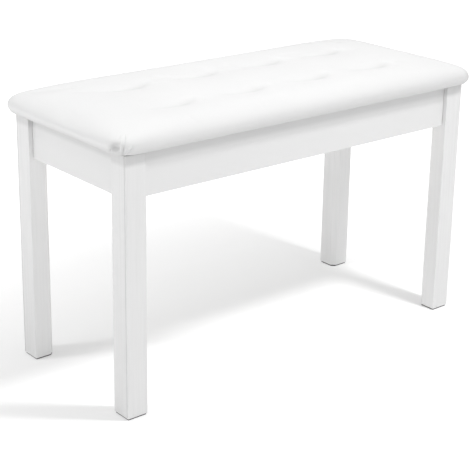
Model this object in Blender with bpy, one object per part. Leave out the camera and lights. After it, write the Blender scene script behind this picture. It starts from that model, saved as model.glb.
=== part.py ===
"""Duet piano bench: a leather-covered lid hinged over a music compartment, on four square legs.

Metres, +Z up. The origin is on the floor under the middle of the bench. +X runs along the length, and
-Y is the side that faces the player's back when the bench is at a keyboard. The lid is shut.
"""

import math

import bmesh
import bpy
from mathutils import Matrix, Vector

# Space left between two pieces that touch on the real bench.
GAP = 0.0003

# Legs and aprons.
LEG_SPAN_X = 0.740
LEG_SPAN_Y = 0.312
LEG_SIDE = 0.038
LEG_BOTTOM = 0.0022
LEG_CHAMFER = 0.0085
FRAME_TOP = 0.434
APRON_BOTTOM = 0.3615
APRON_THICKNESS = 0.018
APRON_SETBACK = 0.0075
EDGE_ROUND = 0.0012

# Foot pads.
FOOT_PAD_SIDE = 0.034
FOOT_PAD_CORNER = 0.003

# Floor of the music compartment and the cleats that carry it.
PANEL_BOTTOM = 0.371
PANEL_THICKNESS = 0.0047
CLEAT_BOTTOM = 0.3622
CLEAT_WIDTH = 0.012
CLEAT_HALF_LENGTH = 0.318

# Diagonal corner blocks with their leg bolts.
BLOCK_THICKNESS = 0.022
BLOCK_BOTTOM = 0.378
BLOCK_TOP = 0.420
BOLT_HEIGHTS = {"lower": 0.389, "upper": 0.409}
BOLT_RADIUS = 0.003
BOLT_IN_LEG = 0.026
BOLT_HEAD_RADIUS = 0.005
BOLT_HEAD_HEIGHT = 0.006
BOLT_SOCKET_RADIUS = 0.0029
BOLT_SOCKET_DEPTH = 0.0035
WASHER_RADIUS = 0.009
WASHER_THICKNESS = 0.0016

# Rubber bumpers on the leg tops.
BUMPER_RADIUS = 0.006

# Lid, from the board's underside cover to the crown of the seat.
LID_BOTTOM = 0.4365
LID_LENGTH = 0.780
LID_WIDTH = 0.342
LID_CORNER = 0.030
LEATHER = 0.0012
BOARD_THICKNESS = 0.012
BOARD_INSET = 0.0065
SIDE_BULGE = 0.002
BULGE_HEIGHT = 0.0135
SHOULDER_WIDTH = 0.046
SHOULDER_RISE = 0.0215
SHOULDER_POWER = 0.92
CROWN_RISE = 0.0045
CROWN_WIDTH = 0.150
HEM_WIDTH = 0.022
HEM_ROUND = 0.004
LINING_INSET = 0.0255
LINING_THICKNESS = 0.0010

# Hinges on the outside of the rear apron.
HINGE_PLACES = {"left": -0.220, "right": 0.220}
HINGE_AXIS_Y = 0.1533
HINGE_AXIS_Z = 0.4326
HINGE_LENGTH = 0.060
HINGE_KNUCKLES = 5
KNUCKLE_RADIUS = 0.003
KNUCKLE_BORE = 0.00135
HINGE_PIN_RADIUS = 0.00125
HINGE_PIN_HEAD = 0.0008
FIXED_LEAF_THICKNESS = 0.0012
FIXED_LEAF_BOTTOM = 0.405
FIXED_LEAF_TOP = 0.4290
MOVING_LEAF_THICKNESS = 0.0014
MOVING_LEAF_START = 0.1561
MOVING_LEAF_END = 0.1685

# Lid stays. The arm is as long as its pivot is far from the hinge, and its pin runs in a slot whose line
# goes through the hinge axis, so the arm turns exactly twice as far as the lid.
LID_OPENING = math.radians(70.0)
ARM_LENGTH = 0.110
PIVOT_DROP = math.radians(10.0)
SLOT_DROP = math.radians(3.0)
ARM_HALF_WIDTH = 0.005
ARM_THICKNESS = 0.0018
ARM_INNER_X = 0.3393
STAY_PIN_RADIUS = 0.0025
STAY_PIN_HEAD = 0.004
STAY_HEAD_THICKNESS = 0.0012
STAY_CLEARANCE = 0.0001
SLOT_CLEARANCE = 0.0004
SLOT_END_ROOM = 0.001
TRACK_INNER_X = 0.3369
TRACK_THICKNESS = 0.0018
TRACK_FLANGE = 0.012
TRACK_FLANGE_THICKNESS = 0.0014
TRACK_EDGE = 0.0052
TRACK_END = 0.007
BRACKET_THICKNESS = 0.0015
BRACKET_WIDTH = 0.020
BRACKET_BELOW = 0.016
BRACKET_ABOVE = 0.010
RIVET_HEAD = 0.0045

ROUND_SIDES = 16
CORNER_STEPS = 6

LEG_FACE_X = LEG_SPAN_X / 2 - LEG_SIDE
LEG_FACE_Y = LEG_SPAN_Y / 2 - LEG_SIDE
APRON_INNER_X = LEG_SPAN_X / 2 - APRON_SETBACK - APRON_THICKNESS
APRON_INNER_Y = LEG_SPAN_Y / 2 - APRON_SETBACK - APRON_THICKNESS
CORNERS = {"front_left": (-1, -1), "front_right": (1, -1), "rear_left": (-1, 1), "rear_right": (1, 1)}
SIDES = {"left": -1, "right": 1}


def clear_scene():
    for old in list(bpy.data.objects):
        bpy.data.objects.remove(old, do_unlink=True)


def make_material(name, colour, roughness, metallic=0.0):
    material = bpy.data.materials.new(name)
    material.use_nodes = True
    shader = material.node_tree.nodes["Principled BSDF"]
    shader.inputs["Base Color"].default_value = (*colour, 1.0)
    shader.inputs["Roughness"].default_value = roughness
    shader.inputs["Metallic"].default_value = metallic
    return material


def add_object(name, bm, material, origin=(0, 0, 0), parent=None, smooth=False):
    """Turn a bmesh in world coordinates into an object whose origin is at the given point."""
    bmesh.ops.recalc_face_normals(bm, faces=bm.faces)
    bmesh.ops.translate(bm, verts=bm.verts, vec=-Vector(origin))
    mesh = bpy.data.meshes.new(name)
    bm.to_mesh(mesh)
    bm.free()
    mesh.materials.append(material)
    if smooth:
        mesh.shade_smooth()
        mesh.set_sharp_from_angle(angle=math.radians(35))
    item = bpy.data.objects.new(name, mesh)
    bpy.context.scene.collection.objects.link(item)
    item.parent = parent
    item.location = Vector(origin) - (parent.location if parent else Vector())
    return item


def add_axis(name, point):
    """An empty on a joint's axis, which carries the pieces that turn about it."""
    axis = bpy.data.objects.new(name, None)
    axis.location = point
    bpy.context.scene.collection.objects.link(axis)
    return axis


def prism(outline, low, high, axis="Z"):
    """Extrude a closed outline from low to high. Its points are (x, y) for Z and (y, z) for X."""
    bm = bmesh.new()
    corners = []
    for u, v in outline:
        corners.append(bm.verts.new((u, v, low) if axis == "Z" else (low, u, v)))
    base = bm.faces.new(corners)
    raised = bmesh.ops.extrude_face_region(bm, geom=[base])["geom"]
    moved = [part for part in raised if isinstance(part, bmesh.types.BMVert)]
    shift = (0, 0, high - low) if axis == "Z" else (high - low, 0, 0)
    bmesh.ops.translate(bm, verts=moved, vec=shift)
    return bm


def box(low, high):
    return prism([(low[0], low[1]), (high[0], low[1]), (high[0], high[1]), (low[0], high[1])], low[2], high[2])


def rod(start, end, radius, sides=ROUND_SIDES):
    """A closed cylinder between two points."""
    start = Vector(start)
    end = Vector(end)
    bm = bmesh.new()
    bmesh.ops.create_cone(
        bm, cap_ends=True, segments=sides, radius1=radius, radius2=radius, depth=(end - start).length
    )
    turn = (end - start).to_track_quat("Z", "Y").to_matrix().to_4x4()
    bmesh.ops.transform(bm, matrix=Matrix.Translation((start + end) / 2) @ turn, verts=bm.verts)
    return bm


def round_edges(item, width=EDGE_ROUND, segments=2):
    modifier = item.modifiers.new("round_edges", "BEVEL")
    modifier.width = width
    modifier.segments = segments
    modifier.limit_method = "ANGLE"
    modifier.angle_limit = math.radians(40)


def combine(item, bm, operation):
    """Cut a shape out of an object, or join it on, with a helper object that is not part of the bench."""
    helper = add_object(f"{item.name}_{operation.lower()}_{len(item.modifiers)}", bm, item.data.materials[0])
    helper.hide_render = True
    helper.display_type = "WIRE"
    modifier = item.modifiers.new(operation.lower(), "BOOLEAN")
    modifier.operation = operation
    modifier.solver = "EXACT"
    modifier.object = helper


def rounded_rectangle(half_x, half_y, radius, steps=CORNER_STEPS):
    """Points round a rectangle with arcs at its corners, anticlockwise from the +X side."""
    points = []
    quarters = [(1, 1, 0), (-1, 1, 1), (-1, -1, 2), (1, -1, 3)]
    for sign_x, sign_y, quarter in quarters:
        for step in range(steps + 1):
            angle = (quarter + step / steps) * math.pi / 2
            x = sign_x * (half_x - radius) + radius * math.cos(angle)
            y = sign_y * (half_y - radius) + radius * math.sin(angle)
            points.append((x, y))
    return points


# Frame -------------------------------------------------------------------------------------------------


def diagonal(sign_x, sign_y):
    """The leg chamfer's middle, and the direction from the compartment out through the leg."""
    middle_x = LEG_FACE_X + LEG_CHAMFER / 2
    middle_y = LEG_FACE_Y + LEG_CHAMFER / 2
    outward = Vector((sign_x, sign_y, 0)).normalized()
    return Vector((sign_x * middle_x, sign_y * middle_y, 0)), outward


def bolt_hole(sign_x, sign_y, height):
    middle, outward = diagonal(sign_x, sign_y)
    middle.z = height
    start = middle - outward * (BLOCK_THICKNESS + 0.005)
    return rod(start, middle + outward * (BOLT_IN_LEG + GAP), BOLT_RADIUS + GAP)


def make_leg(corner, signs, paint):
    """A square post whose inner corner is cut off at 45 degrees."""
    sign_x, sign_y = signs
    outer_x = LEG_SPAN_X / 2
    outer_y = LEG_SPAN_Y / 2
    outline = [
        (outer_x, outer_y),
        (LEG_FACE_X, outer_y),
        (LEG_FACE_X, LEG_FACE_Y + LEG_CHAMFER),
        (LEG_FACE_X + LEG_CHAMFER, LEG_FACE_Y),
        (outer_x, LEG_FACE_Y),
    ]
    outline = [(sign_x * x, sign_y * y) for x, y in outline]
    centre = (sign_x * (outer_x - LEG_SIDE / 2), sign_y * (outer_y - LEG_SIDE / 2), LEG_BOTTOM)
    leg = add_object(f"leg_{corner}", prism(outline, LEG_BOTTOM, FRAME_TOP), paint, centre)
    round_edges(leg)
    for height in BOLT_HEIGHTS.values():
        combine(leg, bolt_hole(sign_x, sign_y, height), "DIFFERENCE")


def make_foot_pad(corner, signs, felt):
    centre_x = signs[0] * (LEG_SPAN_X - LEG_SIDE) / 2
    centre_y = signs[1] * (LEG_SPAN_Y - LEG_SIDE) / 2
    half = FOOT_PAD_SIDE / 2
    inner = FOOT_PAD_SIDE / 2 - LEG_CHAMFER + FOOT_PAD_CORNER
    outline = [(half, half), (-half, half), (-half, -inner), (-inner, -half), (half, -half)]
    outline = [(centre_x + signs[0] * x, centre_y + signs[1] * y) for x, y in outline]
    pad = prism(outline, 0.0, LEG_BOTTOM - GAP)
    add_object(f"foot_pad_{corner}", pad, felt, (centre_x, centre_y, 0))


def make_long_apron(name, sign_y, paint):
    end = LEG_FACE_X - GAP
    outer = sign_y * (APRON_INNER_Y + APRON_THICKNESS)
    inner = sign_y * APRON_INNER_Y
    board = box((-end, min(outer, inner), APRON_BOTTOM), (end, max(outer, inner), FRAME_TOP))
    round_edges(add_object(name, board, paint, (0, (outer + inner) / 2, APRON_BOTTOM)))


def make_end_apron(name, sign_x, paint):
    end = LEG_FACE_Y - GAP
    outer = sign_x * (APRON_INNER_X + APRON_THICKNESS)
    inner = sign_x * APRON_INNER_X
    board = box((min(outer, inner), -end, APRON_BOTTOM), (max(outer, inner), end, FRAME_TOP))
    round_edges(add_object(name, board, paint, ((outer + inner) / 2, 0, APRON_BOTTOM)))


def corner_line():
    """x + y along the leg chamfer's face, less the gap that the corner block keeps to it."""
    return LEG_FACE_X + LEG_FACE_Y + LEG_CHAMFER - GAP * math.sqrt(2)


def make_corner_block(corner, signs, wood):
    """A bar across the corner with mitred ends, bolted through to the leg's chamfer."""
    side_x = APRON_INNER_X - GAP
    side_y = APRON_INNER_Y - GAP
    near = corner_line()
    far = near - BLOCK_THICKNESS * math.sqrt(2)
    outline = [(side_x, near - side_x), (near - side_y, side_y), (far - side_y, side_y), (side_x, far - side_x)]
    outline = [(signs[0] * x, signs[1] * y) for x, y in outline]
    middle, outward = diagonal(*signs)
    origin = middle - outward * BLOCK_THICKNESS / 2
    origin.z = BLOCK_BOTTOM
    block = add_object(f"corner_block_{corner}", prism(outline, BLOCK_BOTTOM, BLOCK_TOP), wood, origin)
    for height in BOLT_HEIGHTS.values():
        combine(block, bolt_hole(*signs, height), "DIFFERENCE")


def make_leg_bolt(corner, signs, place, steel):
    """A socket-head bolt and its washer, on the diagonal through block and leg."""
    middle, outward = diagonal(*signs)
    middle.z = BOLT_HEIGHTS[place]
    block_face = middle - outward * (BLOCK_THICKNESS + GAP)
    washer_near = block_face - outward * GAP
    washer_far = washer_near - outward * WASHER_THICKNESS
    washer = add_object(
        f"washer_{corner}_{place}", rod(washer_far, washer_near, WASHER_RADIUS), steel, washer_far, smooth=True
    )
    hole = rod(washer_far - outward * GAP, washer_near + outward * GAP, BOLT_RADIUS + GAP)
    combine(washer, hole, "DIFFERENCE")

    under_head = washer_far - outward * GAP
    head_end = under_head - outward * BOLT_HEAD_HEIGHT
    shank_end = middle + outward * BOLT_IN_LEG
    shank_start = under_head - outward * BOLT_HEAD_HEIGHT / 3
    bolt = add_object(
        f"leg_bolt_{corner}_{place}", rod(head_end, under_head, BOLT_HEAD_RADIUS), steel, under_head, smooth=True
    )
    combine(bolt, rod(shank_start, shank_end, BOLT_RADIUS), "UNION")
    socket_end = head_end + outward * BOLT_SOCKET_DEPTH
    combine(bolt, rod(head_end - outward * GAP, socket_end, BOLT_SOCKET_RADIUS, 6), "DIFFERENCE")


def make_bottom_panel(wood):
    """The compartment's floor, with its corners cut off to pass the legs."""
    side_x = APRON_INNER_X - GAP
    side_y = APRON_INNER_Y - GAP
    cut = corner_line()
    quarter = [(side_x, cut - side_x), (cut - side_y, side_y)]
    outline = []
    for sign_x, sign_y in [(1, 1), (-1, 1), (-1, -1), (1, -1)]:
        points = quarter if sign_x * sign_y > 0 else quarter[::-1]
        outline += [(sign_x * x, sign_y * y) for x, y in points]
    panel = prism(outline, PANEL_BOTTOM, PANEL_BOTTOM + PANEL_THICKNESS)
    add_object("bottom_panel", panel, wood, (0, 0, PANEL_BOTTOM))


def make_cleat(name, sign_y, wood):
    """A strip along the inside of a long apron, under the panel."""
    near = sign_y * (APRON_INNER_Y - GAP)
    far = sign_y * (APRON_INNER_Y - GAP - CLEAT_WIDTH)
    low = (-CLEAT_HALF_LENGTH, min(near, far), CLEAT_BOTTOM)
    high = (CLEAT_HALF_LENGTH, max(near, far), PANEL_BOTTOM - GAP)
    add_object(name, box(low, high), wood, (0, (near + far) / 2, CLEAT_BOTTOM))


def make_bumper(corner, signs, rubber):
    centre_x = signs[0] * (LEG_SPAN_X - LEG_SIDE) / 2
    centre_y = signs[1] * (LEG_SPAN_Y - LEG_SIDE) / 2
    low = (centre_x, centre_y, FRAME_TOP + GAP)
    high = (centre_x, centre_y, LID_BOTTOM - GAP)
    add_object(f"lid_bumper_{corner}", rod(low, high, BUMPER_RADIUS), rubber, low, smooth=True)


# Lid ---------------------------------------------------------------------------------------------------


def seat_profile(depth):
    """(inset, height) points up the seat's side and over its shoulder, at a depth below the leather's face."""
    base = LID_BOTTOM
    bulge = base + BULGE_HEIGHT
    points = []
    for step in range(4):
        angle = step / 3 * math.pi / 2
        inset = SIDE_BULGE + HEM_ROUND * (1 - math.sin(angle))
        points.append((inset, base + HEM_ROUND * (1 - math.cos(angle))))
    for step in range(9):
        angle = step / 8 * math.pi / 2
        inset = SHOULDER_WIDTH * (1 - math.cos(angle) ** SHOULDER_POWER)
        points.append((inset, bulge + SHOULDER_RISE * math.sin(angle) ** SHOULDER_POWER))
    top = bulge + SHOULDER_RISE
    for share in (0.33, 0.66, 1.0):
        rise = CROWN_RISE * math.sin(share * math.pi / 2)
        points.append((SHOULDER_WIDTH + share * (CROWN_WIDTH - SHOULDER_WIDTH), top + rise))
    moved = []
    for index, (inset, height) in enumerate(points):
        before = points[max(index - 1, 0)]
        after = points[min(index + 1, len(points) - 1)]
        along = Vector((after[0] - before[0], after[1] - before[1])).normalized()
        moved.append((inset + depth * along.y, height - depth * along.x))
    return moved


def add_ring(bm, inset, height):
    """One loop of vertices round the seat, the given distance inside its outline."""
    radius = LID_CORNER - 0.2 * min(inset, 0.09)
    points = rounded_rectangle(LID_LENGTH / 2 - inset, LID_WIDTH / 2 - inset, radius)
    return [bm.verts.new((x, y, height)) for x, y in points]


def join_rings(bm, rings):
    for lower, upper in zip(rings, rings[1:]):
        count = len(lower)
        for index in range(count):
            after = (index + 1) % count
            bm.faces.new((lower[index], lower[after], upper[after], upper[index]))


def make_seat_cover(leather, axis):
    """The leather skin: up the sides, over the foam, and turned in under the board as a hem."""
    bm = bmesh.new()
    outer = seat_profile(0.0)
    inner = seat_profile(LEATHER)
    hem_top = LID_BOTTOM + LEATHER
    inner[0] = (inner[0][0], hem_top)
    hem_inset = SIDE_BULGE + HEM_WIDTH
    rings = [add_ring(bm, inset, height) for inset, height in reversed(outer)]
    rings.append(add_ring(bm, hem_inset, LID_BOTTOM))
    rings.append(add_ring(bm, hem_inset, hem_top))
    rings += [add_ring(bm, inset, height) for inset, height in inner]
    join_rings(bm, rings)
    bm.faces.new(rings[0])
    bm.faces.new(rings[-1])
    add_object("seat_cover", bm, leather, (0, 0, LID_BOTTOM), axis, smooth=True)


def make_seat_foam(foam, axis):
    bm = bmesh.new()
    base = LID_BOTTOM + LEATHER + GAP + BOARD_THICKNESS + GAP
    profile = [point for point in seat_profile(LEATHER + GAP) if point[1] > base + GAP]
    rings = [add_ring(bm, profile[0][0], base)]
    rings += [add_ring(bm, inset, height) for inset, height in profile]
    join_rings(bm, rings)
    bm.faces.new(rings[0])
    bm.faces.new(rings[-1])
    add_object("seat_foam", bm, foam, (0, 0, base), axis, smooth=True)


def make_seat_board(wood, axis):
    bottom = LID_BOTTOM + LEATHER + GAP
    half_x = LID_LENGTH / 2 - BOARD_INSET
    half_y = LID_WIDTH / 2 - BOARD_INSET
    outline = rounded_rectangle(half_x, half_y, LID_CORNER)
    add_object("seat_board", prism(outline, bottom, bottom + BOARD_THICKNESS), wood, (0, 0, bottom), axis)


def make_lid_lining(cloth, axis):
    """Thin cloth that closes the board's underside inside the leather hem."""
    half_x = LID_LENGTH / 2 - LINING_INSET
    half_y = LID_WIDTH / 2 - LINING_INSET
    lining = prism(rounded_rectangle(half_x, half_y, LID_CORNER), LID_BOTTOM, LID_BOTTOM + LINING_THICKNESS)
    add_object("lid_lining", lining, cloth, (0, 0, LID_BOTTOM), axis)


# Hinges ------------------------------------------------------------------------------------------------


def knuckle_spans(centre, first):
    """(low x, high x) of every second knuckle, counted from the first."""
    pitch = HINGE_LENGTH / HINGE_KNUCKLES
    start = centre - HINGE_LENGTH / 2
    indexes = range(first, HINGE_KNUCKLES, 2)
    return [(start + index * pitch + GAP / 2, start + (index + 1) * pitch - GAP / 2) for index in indexes]


def add_knuckles(leaf, spans, web_low, web_high):
    """Barrels round the pin, each joined to the leaf by a web given by its (y, z) corners."""
    for low, high in spans:
        barrel = rod((low, HINGE_AXIS_Y, HINGE_AXIS_Z), (high, HINGE_AXIS_Y, HINGE_AXIS_Z), KNUCKLE_RADIUS)
        combine(leaf, box((low, *web_low), (high, *web_high)), "UNION")
        combine(leaf, barrel, "UNION")
    start = (spans[0][0] - GAP, HINGE_AXIS_Y, HINGE_AXIS_Z)
    end = (spans[-1][1] + GAP, HINGE_AXIS_Y, HINGE_AXIS_Z)
    combine(leaf, rod(start, end, KNUCKLE_BORE), "DIFFERENCE")


def make_hinge(side, centre, steel, axis):
    low = centre - HINGE_LENGTH / 2
    high = centre + HINGE_LENGTH / 2
    leaf_y = APRON_INNER_Y + APRON_THICKNESS + GAP
    leaf_out = leaf_y + FIXED_LEAF_THICKNESS
    fixed = add_object(
        f"hinge_leaf_fixed_{side}",
        box((low, leaf_y, FIXED_LEAF_BOTTOM), (high, leaf_out, FIXED_LEAF_TOP)),
        steel,
        (centre, leaf_y, FIXED_LEAF_BOTTOM),
    )
    add_knuckles(fixed, knuckle_spans(centre, 0), (leaf_y, FIXED_LEAF_TOP - 0.002), (HINGE_AXIS_Y, HINGE_AXIS_Z))

    leaf_top = LID_BOTTOM - GAP
    leaf_bottom = leaf_top - MOVING_LEAF_THICKNESS
    moving = add_object(
        f"hinge_leaf_moving_{side}",
        box((low, MOVING_LEAF_START, leaf_bottom), (high, MOVING_LEAF_END, leaf_top)),
        steel,
        (centre, HINGE_AXIS_Y, HINGE_AXIS_Z),
        axis,
    )
    spans = knuckle_spans(centre, 1)
    add_knuckles(moving, spans, (HINGE_AXIS_Y, HINGE_AXIS_Z), (MOVING_LEAF_START + 0.001, leaf_top))

    pin_low = (low - HINGE_PIN_HEAD, HINGE_AXIS_Y, HINGE_AXIS_Z)
    pin_high = (high + HINGE_PIN_HEAD, HINGE_AXIS_Y, HINGE_AXIS_Z)
    pin = rod(pin_low, pin_high, HINGE_PIN_RADIUS)
    add_object(f"hinge_pin_{side}", pin, steel, (centre, HINGE_AXIS_Y, HINGE_AXIS_Z), smooth=True)


# Lid stays ---------------------------------------------------------------------------------------------


def along_hinge(drop, distance):
    """(y, z) at a distance in front of the hinge axis, on a line that drops by an angle."""
    return HINGE_AXIS_Y - distance * math.cos(drop), HINGE_AXIS_Z - distance * math.sin(drop)


def slot_reach(opening):
    """How far in front of the hinge axis the pin is when the lid is open by an angle."""
    return 2 * ARM_LENGTH * math.cos(PIVOT_DROP - SLOT_DROP + opening)


def bar_outline(start, end, radius, steps=6):
    """(y, z) points round a straight bar with half-round ends."""
    along = Vector((end[0] - start[0], end[1] - start[1]))
    heading = math.atan2(along.y, along.x)
    points = []
    for centre, first in ((end, heading - math.pi / 2), (start, heading + math.pi / 2)):
        for step in range(steps + 1):
            angle = first + step / steps * math.pi
            points.append((centre[0] + radius * math.cos(angle), centre[1] + radius * math.sin(angle)))
    return points


def across(sign, low, high):
    """The x span of a piece on the left or the right stay, in rising order."""
    return (low, high) if sign > 0 else (-high, -low)


def make_stay_track(side, sign, steel, axis):
    """A slotted angle bar under the lid."""
    first = slot_reach(LID_OPENING) - SLOT_END_ROOM
    last = slot_reach(0.0) + SLOT_END_ROOM
    top = LID_BOTTOM - GAP
    rear = along_hinge(SLOT_DROP, first - TRACK_END)
    front = along_hinge(SLOT_DROP, last + TRACK_END)
    outline = [(rear[0], top), (front[0], top), (front[0], front[1] - TRACK_EDGE), (rear[0], rear[1] - TRACK_EDGE)]
    plate_x = across(sign, TRACK_INNER_X, TRACK_INNER_X + TRACK_THICKNESS)
    origin = (plate_x[0], HINGE_AXIS_Y, HINGE_AXIS_Z)
    track = add_object(f"stay_track_{side}", prism(outline, *plate_x, axis="X"), steel, origin, axis)
    flange_x = across(sign, TRACK_INNER_X + TRACK_THICKNESS - TRACK_FLANGE, TRACK_INNER_X + TRACK_THICKNESS / 2)
    low = (flange_x[0], front[0], top - TRACK_FLANGE_THICKNESS)
    combine(track, box(low, (flange_x[1], rear[0], top)), "UNION")
    ends = along_hinge(SLOT_DROP, first), along_hinge(SLOT_DROP, last)
    slot = bar_outline(*ends, STAY_PIN_RADIUS + SLOT_CLEARANCE)
    combine(track, prism(slot, plate_x[0] - GAP, plate_x[1] + GAP, axis="X"), "DIFFERENCE")


def make_stay_bracket(side, sign, steel):
    """A plate on the end apron with a spacing collar, bored for the rivet."""
    pivot = along_hinge(PIVOT_DROP, ARM_LENGTH)
    plate_x = across(sign, APRON_INNER_X - GAP - BRACKET_THICKNESS, APRON_INNER_X - GAP)
    low = (plate_x[0], pivot[0] - BRACKET_WIDTH / 2, pivot[1] - BRACKET_BELOW)
    high = (plate_x[1], pivot[0] + BRACKET_WIDTH / 2, pivot[1] + BRACKET_ABOVE)
    bracket = add_object(f"stay_bracket_{side}", box(low, high), steel, (plate_x[0], *pivot))
    collar_x = across(sign, ARM_INNER_X + ARM_THICKNESS + GAP, APRON_INNER_X - 2 * GAP)
    collar = rod((collar_x[0], *pivot), (collar_x[1], *pivot), RIVET_HEAD)
    combine(bracket, collar, "UNION")
    bore_x = across(sign, ARM_INNER_X, APRON_INNER_X)
    combine(bracket, rod((bore_x[0], *pivot), (bore_x[1], *pivot), STAY_PIN_RADIUS + GAP), "DIFFERENCE")


def make_stay_rivet(side, sign, steel):
    """The arm's pivot: a shank through bracket and arm with a head on the inside."""
    pivot = along_hinge(PIVOT_DROP, ARM_LENGTH)
    head_x = across(sign, ARM_INNER_X - GAP - STAY_HEAD_THICKNESS, ARM_INNER_X - GAP)
    rivet = add_object(
        f"stay_rivet_{side}",
        rod((head_x[0], *pivot), (head_x[1], *pivot), RIVET_HEAD),
        steel,
        (head_x[0], *pivot),
        smooth=True,
    )
    shank_x = across(sign, ARM_INNER_X - 2 * GAP, APRON_INNER_X - GAP)
    combine(rivet, rod((shank_x[0], *pivot), (shank_x[1], *pivot), STAY_PIN_RADIUS), "UNION")


def make_stay_arm(side, sign, steel):
    """A flat arm on its pivot, with the headed pin that runs in the track."""
    pivot = along_hinge(PIVOT_DROP, ARM_LENGTH)
    pin = along_hinge(SLOT_DROP, slot_reach(0.0))
    arm_x = across(sign, ARM_INNER_X, ARM_INNER_X + ARM_THICKNESS)
    axis = add_axis(f"stay_axis_{side}", (arm_x[0], *pivot))
    bar = prism(bar_outline(pivot, pin, ARM_HALF_WIDTH), *arm_x, axis="X")
    arm = add_object(f"stay_arm_{side}", bar, steel, (arm_x[0], *pivot), axis)
    bore = rod((arm_x[0] - GAP, *pivot), (arm_x[1] + GAP, *pivot), STAY_PIN_RADIUS + STAY_CLEARANCE)
    combine(arm, bore, "DIFFERENCE")
    head_inner = TRACK_INNER_X - 2 * GAP - STAY_HEAD_THICKNESS
    pin_x = across(sign, head_inner + GAP, ARM_INNER_X + GAP)
    combine(arm, rod((pin_x[0], *pin), (pin_x[1], *pin), STAY_PIN_RADIUS), "UNION")
    head_x = across(sign, head_inner, head_inner + STAY_HEAD_THICKNESS)
    combine(arm, rod((head_x[0], *pin), (head_x[1], *pin), STAY_PIN_HEAD), "UNION")


def build():
    clear_scene()
    paint = make_material("white_paint", (0.86, 0.86, 0.85), 0.42)
    raw_wood = make_material("raw_wood", (0.72, 0.56, 0.38), 0.65)
    plywood = make_material("plywood", (0.78, 0.64, 0.45), 0.6)
    leather = make_material("white_leather", (0.89, 0.89, 0.88), 0.38)
    foam = make_material("foam", (0.90, 0.84, 0.60), 0.95)
    cloth = make_material("lining_cloth", (0.12, 0.12, 0.12), 0.9)
    rubber = make_material("rubber", (0.70, 0.70, 0.70), 0.75)
    felt = make_material("foot_felt", (0.30, 0.29, 0.28), 0.95)
    steel = make_material("zinc_steel", (0.66, 0.67, 0.69), 0.32, 1.0)

    lid_axis = add_axis("lid_axis", (0, HINGE_AXIS_Y, HINGE_AXIS_Z))
    for corner, signs in CORNERS.items():
        make_leg(corner, signs, paint)
        make_foot_pad(corner, signs, felt)
        make_corner_block(corner, signs, raw_wood)
        make_bumper(corner, signs, rubber)
        for place in BOLT_HEIGHTS:
            make_leg_bolt(corner, signs, place, steel)
    make_long_apron("apron_front", -1, paint)
    make_long_apron("apron_rear", 1, paint)
    make_end_apron("apron_left", -1, paint)
    make_end_apron("apron_right", 1, paint)
    make_bottom_panel(plywood)
    make_cleat("panel_cleat_front", -1, raw_wood)
    make_cleat("panel_cleat_rear", 1, raw_wood)

    make_seat_board(plywood, lid_axis)
    make_seat_foam(foam, lid_axis)
    make_seat_cover(leather, lid_axis)
    make_lid_lining(cloth, lid_axis)
    for side, centre in HINGE_PLACES.items():
        make_hinge(side, centre, steel, lid_axis)
    for side, sign in SIDES.items():
        make_stay_track(side, sign, steel, lid_axis)
        make_stay_bracket(side, sign, steel)
        make_stay_rivet(side, sign, steel)
        make_stay_arm(side, sign, steel)


build()
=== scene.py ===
"""The piano bench's looks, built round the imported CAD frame. Metres, +Z up, front towards -Y."""

import math

import bmesh
import bpy
from mathutils import Matrix, Vector, noise


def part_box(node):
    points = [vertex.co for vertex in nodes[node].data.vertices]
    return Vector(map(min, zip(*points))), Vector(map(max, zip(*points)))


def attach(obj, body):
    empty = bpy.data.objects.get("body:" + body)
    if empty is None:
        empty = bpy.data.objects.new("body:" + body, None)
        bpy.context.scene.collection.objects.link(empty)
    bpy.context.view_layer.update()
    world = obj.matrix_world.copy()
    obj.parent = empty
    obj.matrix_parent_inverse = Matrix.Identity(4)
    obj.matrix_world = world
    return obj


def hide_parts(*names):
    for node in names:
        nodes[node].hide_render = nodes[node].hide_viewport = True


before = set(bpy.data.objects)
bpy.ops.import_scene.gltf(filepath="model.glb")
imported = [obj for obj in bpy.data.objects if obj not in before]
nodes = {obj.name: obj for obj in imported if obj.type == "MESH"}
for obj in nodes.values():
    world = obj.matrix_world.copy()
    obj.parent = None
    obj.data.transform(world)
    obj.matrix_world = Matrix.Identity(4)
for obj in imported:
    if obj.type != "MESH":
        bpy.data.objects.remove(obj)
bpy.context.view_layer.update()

MM = 0.001
CORNERS = ("front_left", "front_right", "rear_left", "rear_right")
ENDS = ("left", "right")
LEVELS = ("lower", "upper")

# Measures read from the frame --------------------------------------------------------------------------

cover_low, cover_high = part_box("seat_cover")
lining_low, lining_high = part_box("lid_lining")
HALF_LENGTH = cover_high.x
HALF_WIDTH = cover_high.y
LID_BOTTOM = cover_low.z
LEG_OUTER_X = -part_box("leg_front_left")[0].x
LEG_OUTER_Y = -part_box("leg_front_left")[0].y
FRAME_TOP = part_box("apron_front")[1].z

# The seat ----------------------------------------------------------------------------------------------

# Its section, as in the CAD: a hem under the board, a round lower edge, a bulging side and a wide soft
# shoulder. Its corners get sharper inwards, by CORNER_SHARPENING of the inset. Near them the crown drops.
CORNER_RADIUS = 34 * MM
CORNER_SHARPENING = 0.45
HEM_INSET = 24 * MM
HEM_RETURN = 1.25 * MM
FLAT_HEM = 0.5 * MM
LOWER_ROUND = 7 * MM
BULGE_HEIGHT = 13.5 * MM
SHOULDER_WIDTH = 46 * MM
SHOULDER_RISE = 21.5 * MM
SHOULDER_POWER = 0.92
CROWN_RISE = 4.5 * MM
CORNER_DROP = 6 * MM
CORNER_REACH = 95 * MM

# The sheet's quads: their size on the top and their number in each part of the section.
CELL = 4.6 * MM
HEM_STEPS = 4
SIDE_STEPS = 6
SHOULDER_STEPS = 13

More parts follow.
